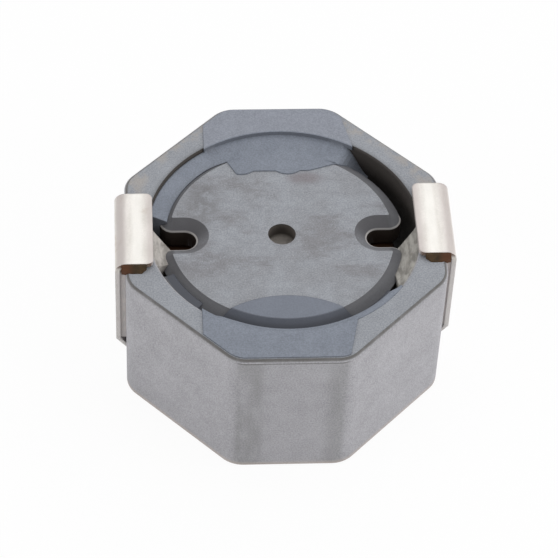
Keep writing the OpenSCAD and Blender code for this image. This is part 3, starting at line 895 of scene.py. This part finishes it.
def tinned_strip():
    """Tin plating with a faint grain, a painted highlight across the tab and painted shade at its ends; the
    tabs' cut edges are brown with adhesive and bare metal, darkened by painted shade.
    """
    f = Finish("tinned_strip")
    grain = f.noise(4.0, 3.0, 0.6, stretch=(1, 0.2, 1), seed=1.0)
    fine = f.noise(22.0, 2.0, 0.6, seed=4.0)
    base = f.mix(f.rise(grain, 0.3, 0.7), colour(207, 203, 197), colour(220, 216, 211))
    base = f.shade(base, f.rise(fine, 0.3, 0.7, 0.96, 1.04))
    stain = f.noise(1.6, 3.0, 0.6, seed=8.0)
    base = f.mix(f.times(f.rise(stain, 0.58, 0.72), 0.3), base, colour(176, 156, 138))

    # painted highlight and painted shade for the tab's slight bow: darker along its inner end and over the
    # bend, and lighter between them
    across = f.math("ABSOLUTE", f.x)
    on_top = f.rise(f.z, TOP_Z - 0.05, TOP_Z + 0.1)
    inner = f.rise(across, 4.32, 4.05)
    bend = f.rise(across, 4.7, 4.95)
    base = f.mix(f.times(on_top, f.window(across, 4.4, 4.55, 0.15), 0.6), base, colour(232, 230, 225))
    base = f.mix(f.times(on_top, f.either(inner, bend), 0.75), base, colour(182, 173, 170))
    side = f.rise(f.z, TOP_Z - 0.1, TOP_Z - 0.3)
    base = f.mix(f.times(side, 0.5), base, colour(190, 186, 187))
    # the tabs' cut edges: brown of adhesive and bare metal, darkened further as painted shade
    cut = f.times(f.rise(f.math("ABSOLUTE", f.normal_y), 0.5, 0.9), on_top)
    base = f.mix(f.times(cut, f.rise(fine, 0.3, 0.6, 0.6, 1.0)), base, colour(92, 66, 46))
    metal = f.rise(cut, 0.2, 0.8, 0.35, 0.0)
    f.join(metal, f.shader.inputs["Metallic"])
    bow = f.math("ADD", f.times(grain, 0.7), f.times(fine, 0.3))
    f.bump(bow, 0.014, 0.5, f.soften(0.07))
    return f.finish(base, f.rise(stain, 0.3, 0.7, 0.44, 0.58))


def core_resin():
    """Smooth blue-grey epoxy with a fine speckle, and painted shade where it lies low in the gap and where
    it is steep.
    """
    f = Finish("core_resin")
    from_axis = f.distance(0, 0)
    cloud = f.noise(0.8, 3.0, 0.6, seed=6.0)
    blotch = f.noise(2.4, 3.0, 0.6, seed=16.0)
    grain = f.noise(20.0, 2.0, 0.8)
    base = f.mix(f.rise(cloud, 0.3, 0.7), colour(120, 126, 137), colour(128, 134, 145))
    at_back = f.times(f.rise(f.y, 0.0, 1.0), f.rise(from_axis, BORE_R - 0.03, BORE_R + 0.05))
    base = f.mix(at_back, base, colour(139, 143, 153))
    tone = f.math("ADD", f.rise(grain, 0.3, 0.7, 0.86, 1.14), f.rise(blotch, 0.3, 0.7, -0.04, 0.04))
    base = f.shade(base, tone)
    base = f.mix(f.times(f.grains(9.0, 0.18), 0.3), base, colour(158, 165, 175))
    at_front = f.rise(f.y, 0.0, -1.0)
    on_drum = f.times(f.rise(from_axis, FACE_R + 0.02, FACE_R - 0.04), at_front)
    base = f.mix(f.times(on_drum, 0.6), base, colour(112, 117, 128))
    base = f.mix(f.times(chip_mask(f), 0.8), base, colour(206, 205, 201))

    # painted shade: darker where it lies low at the back left and front left, in a band round the drum at
    # the front, and on steep parts
    deep_shade = f.rise(f.z, TOP_Z - 0.2, TOP_Z - 0.42)
    at_left = f.rise(f.x, -1.2, -2.6)
    base = f.mix(f.times(deep_shade, f.rise(f.y, 0.5, 2.0), at_left, 0.5), base, colour(98, 100, 104))
    low = f.times(f.rise(f.z, TOP_Z - 0.28, TOP_Z - 0.36), at_front)
    low = f.times(low, f.rise(from_axis, FACE_R, FACE_R + 0.1))
    base = f.mix(f.times(low, 0.85), base, colour(96, 96, 97))
    ring_shade = f.times(f.window(from_axis, FACE_R + 0.02, BEAD_IN - 0.02, 0.06), at_front)
    base = f.mix(f.times(ring_shade, 0.85), base, colour(76, 79, 88))
    steep_shade = f.times(f.rise(f.normal_z, 0.8, 0.4), f.rise(from_axis, FACE_R, FACE_R + 0.1))
    base = f.mix(f.times(steep_shade, 0.5), base, colour(84, 86, 92))
    f.bump(f.math("ADD", f.times(cloud, 0.6), f.times(grain, 0.4)), 0.02, 0.4, f.soften(0.05))
    return f.finish(base, 0.6, Specular_IOR_Level=0.3)


def clip_adhesive():
    """Brown epoxy, darkened by painted shade, reddish at the clip's bend, and nearly white behind its plate
    as painted light in the shaded gap.
    """
    f = Finish("clip_adhesive")
    cloud = f.noise(3.0, 3.0, 0.6, seed=7.0)
    # dark brown: the epoxy's own colour, darkened further as painted shade in front of the tab
    base = f.mix(f.rise(cloud, 0.35, 0.65), colour(50, 40, 27), colour(74, 57, 38))
    red = f.rise(f.math("ABSOLUTE", f.x), 4.5, 4.8)
    base = f.mix(f.times(red, 0.5), base, colour(98, 58, 38))
    # painted light: behind the plate, where the gap lies in shade, the epoxy is made nearly white
    behind = f.rise(f.z, TOP_Z - 0.15, TOP_Z - 0.4)
    base = f.mix(behind, base, f.mix(f.rise(cloud, 0.4, 0.6), colour(204, 199, 197), colour(214, 207, 203)))
    f.bump(cloud, 0.03, 0.5, f.soften(0.03))
    return f.finish(base, 0.7, Specular_IOR_Level=0.2)


def notch_resin():
    """Beige resin with light fibres and dark pores."""
    f = Finish("notch_resin")
    fibres = f.noise(5.0, 3.0, 0.6, stretch=(1, 0.3, 1), seed=2.5)
    pores = f.noise(3.0, 3.0, 0.6, seed=6.5)
    left = f.rise(f.x, 0.5, -0.5)
    dark = f.mix(left, colour(128, 125, 120), colour(142, 138, 133))
    light = f.mix(left, colour(172, 169, 163), colour(184, 179, 174))
    base = f.mix(f.rise(fibres, 0.35, 0.65), dark, light)
    base = f.mix(f.times(f.rise(pores, 0.58, 0.75), 0.5), base, colour(104, 96, 88))
    f.bump(fibres, 0.05, 0.7, f.soften(0.04))
    return f.finish(base, f.rise(fibres, 0.3, 0.7, 0.7, 0.5), Specular_IOR_Level=0.3)


def solder():
    """Satin solder, slightly grainy."""
    f = Finish("solder")
    grain = f.noise(5.0, 3.0, 0.6)
    base = f.mix(f.rise(grain, 0.3, 0.7), colour(192, 191, 189), colour(222, 221, 219))
    f.bump(grain, 0.02, 0.5)
    return f.finish(base, f.rise(grain, 0.3, 0.7, 0.3, 0.45), Metallic=0.9)


FINISHES = {
    "sleeve_ferrite": sleeve_ferrite, "drum_ferrite": drum_ferrite, "enamelled_wire": enamelled_wire,
    "tinned_strip": tinned_strip, "core_resin": core_resin, "clip_adhesive": clip_adhesive,
    "notch_resin": notch_resin, "solder": solder,
}


def dress(forms):
    """Gives every piece the finish of its material slot in the record."""
    made = {slot: build() for slot, build in FINISHES.items()}
    for subpart in frame["record"]["subparts"]:
        node = subpart["node"]
        piece = forms.get(node, frame["nodes"][node])
        piece.data.materials.clear()
        piece.data.materials.append(made[subpart["material_slot"]])


# ---------------------------------------------------------------- floor, light and camera

def seen_as_background(tree):
    """1 for the rays that should see the background as plain white."""
    path = tree.nodes.new("ShaderNodeLightPath")
    total = path.outputs["Is Camera Ray"]
    for name in ("Is Glossy Ray", "Is Transmission Ray"):
        larger = tree.nodes.new("ShaderNodeMath")
        larger.operation = "MAXIMUM"
        tree.links.new(total, larger.inputs[0])
        tree.links.new(path.outputs[name], larger.inputs[1])
        total = larger.outputs[0]
    return total


def pale_floor():
    """A plain white table that keeps a light shadow."""
    width, below, whiteness = 3.0, 0.01 * MM, 0.94
    bpy.ops.mesh.primitive_plane_add(size=width, location=(0, 0, -below))
    floor = bpy.context.object
    floor.name = "floor"
    material = bpy.data.materials.new("white_table")
    material.use_nodes = True
    tree = material.node_tree
    tree.nodes.clear()
    output = tree.nodes.new("ShaderNodeOutputMaterial")
    table = tree.nodes.new("ShaderNodeBsdfDiffuse")
    table.inputs["Color"].default_value = (0.95, 0.95, 0.95, 1)
    white = tree.nodes.new("ShaderNodeEmission")
    share = tree.nodes.new("ShaderNodeMath")
    share.operation = "MULTIPLY"
    share.inputs[1].default_value = whiteness
    tree.links.new(seen_as_background(tree), share.inputs[0])
    mixed = tree.nodes.new("ShaderNodeMixShader")
    tree.links.new(share.outputs[0], mixed.inputs["Fac"])
    tree.links.new(table.outputs[0], mixed.inputs[1])
    tree.links.new(white.outputs[0], mixed.inputs[2])
    tree.links.new(mixed.outputs[0], output.inputs["Surface"])
    floor.data.materials.append(material)


def soft_world(strength):
    """Even light from all round, which the camera sees as white."""
    world = bpy.data.worlds.new("soft_world")
    bpy.context.scene.world = world
    world.use_nodes = True
    tree = world.node_tree
    background = tree.nodes["Background"]
    background.inputs["Color"].default_value = (1, 1, 1, 1)
    level = tree.nodes.new("ShaderNodeMapRange")
    level.inputs["To Min"].default_value = strength
    level.inputs["To Max"].default_value = 1.0
    tree.links.new(seen_as_background(tree), level.inputs["Value"])
    tree.links.new(level.outputs["Result"], background.inputs["Strength"])


def softbox(name, azimuth, elevation, share, distance=0.25, size=0.2):
    """A square lamp that faces the part. share is what it adds to a white surface that faces it."""
    lamp = bpy.data.lights.new(name, "AREA")
    lamp.size = size
    lamp.energy = share * math.pi ** 2 * distance ** 2
    holder = bpy.data.objects.new(name, lamp)
    bpy.context.scene.collection.objects.link(holder)
    towards = direction(azimuth, elevation)
    holder.location = towards * distance
    holder.rotation_euler = towards.to_track_quat("Z", "Y").to_euler()


def direction(azimuth, elevation):
    """Unit vector to a place round the part: azimuth 0 is in front and 90 on the right, in degrees."""
    a, e = math.radians(azimuth), math.radians(elevation)
    return Vector((math.sin(a) * math.cos(e), -math.cos(a) * math.cos(e), math.sin(e)))


def camera():
    """A long lens in front of the part and above it, rolled by a few degrees."""
    azimuth, elevation, roll = -5.05, 48.27, 2.94
    distance, aside = 80.73 * MM, Vector((-0.083, 0.062, 0)) * MM
    back = direction(azimuth, elevation)
    right = Vector((math.cos(math.radians(azimuth)), math.sin(math.radians(azimuth)), 0))
    up = back.cross(right)
    turn = math.radians(roll)
    level = right * math.cos(turn) + up * math.sin(turn)
    upright = up * math.cos(turn) - right * math.sin(turn)
    data = bpy.data.cameras.new("camera")
    data.lens = 167.7
    data.sensor_width = 36.0
    data.clip_start = 0.005
    data.clip_end = 10
    holder = bpy.data.objects.new("camera", data)
    bpy.context.scene.collection.objects.link(holder)
    axes = Matrix((level, upright, back)).transposed()
    middle = (cad_box[0] + cad_box[1]) / 2
    holder.matrix_world = Matrix.Translation(middle + aside + back * distance) @ axes.to_4x4()
    bpy.context.scene.camera = holder


def light():
    soft_world(0.4)
    softbox("back_key", 150, 60, 0.52, size=0.3)
    softbox("right_fill", 72, 12, 0.72)
    softbox("left_fill", -72, 12, 0.58)


dress(make_forms())
pale_floor()
light()
camera()
bpy.context.scene.view_settings.view_transform = "Standard"
